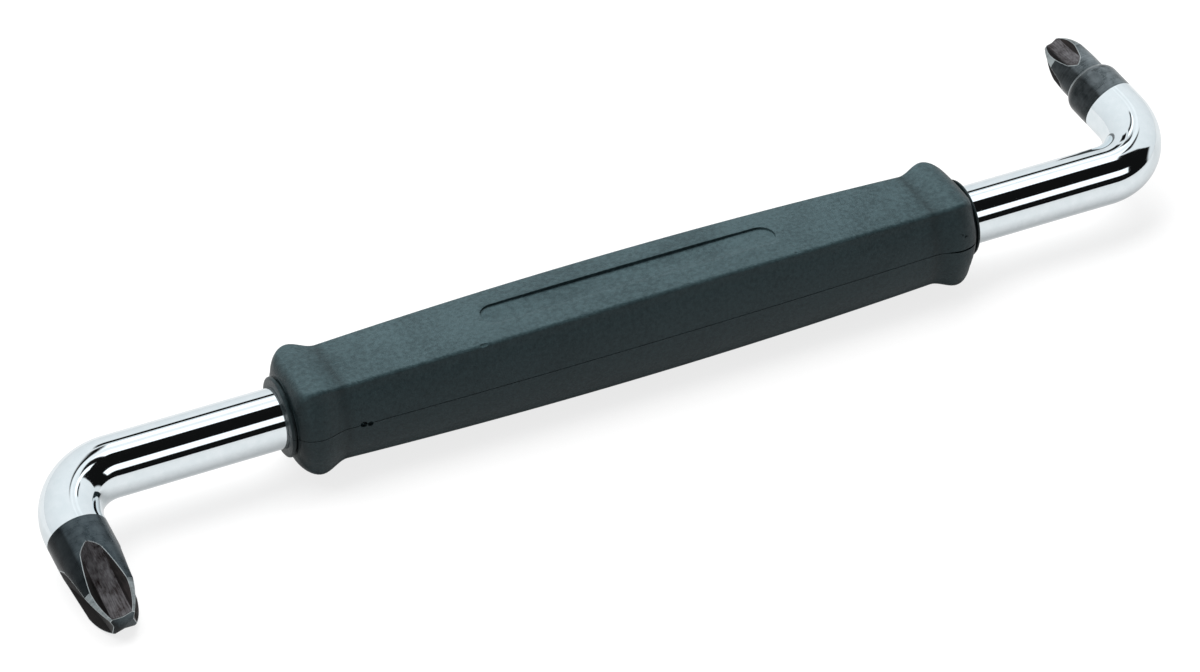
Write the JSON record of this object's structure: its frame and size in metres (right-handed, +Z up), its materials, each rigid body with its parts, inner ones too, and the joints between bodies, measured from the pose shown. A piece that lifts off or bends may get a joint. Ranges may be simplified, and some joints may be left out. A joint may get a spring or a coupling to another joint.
{
  "type": "offset screwdriver",
  "caption": "Offset screwdriver: a bent round steel bar with a cross point on each arm, the arms turned opposite ways, in a moulded plastic handle.",
  "frame": {"origin": "middle of the handle, on the axis of the bar, at the seam of the two handle halves", "axes": "+X along the handle and the bar towards the PH3 arm, +Y the side that the PH3 arm points to, +Z up through the label face of the handle"},
  "size_m": [0.2057, 0.0564, 0.0211],
  "materials": {
    "chrome_bar": "bright chrome plating on a polished round bar",
    "bare_steel": "dark burnished tool steel, ground flutes with a brown tint",
    "handle_plastic": "fine-grained black-grey hard plastic, satin"
  },
  "bodies": {
    "root": {"shank": "chrome_bar", "ph4_tip": "bare_steel", "ph3_tip": "bare_steel", "upper_shell": "handle_plastic", "lower_shell": "handle_plastic"}
  },
  "joints": []
}
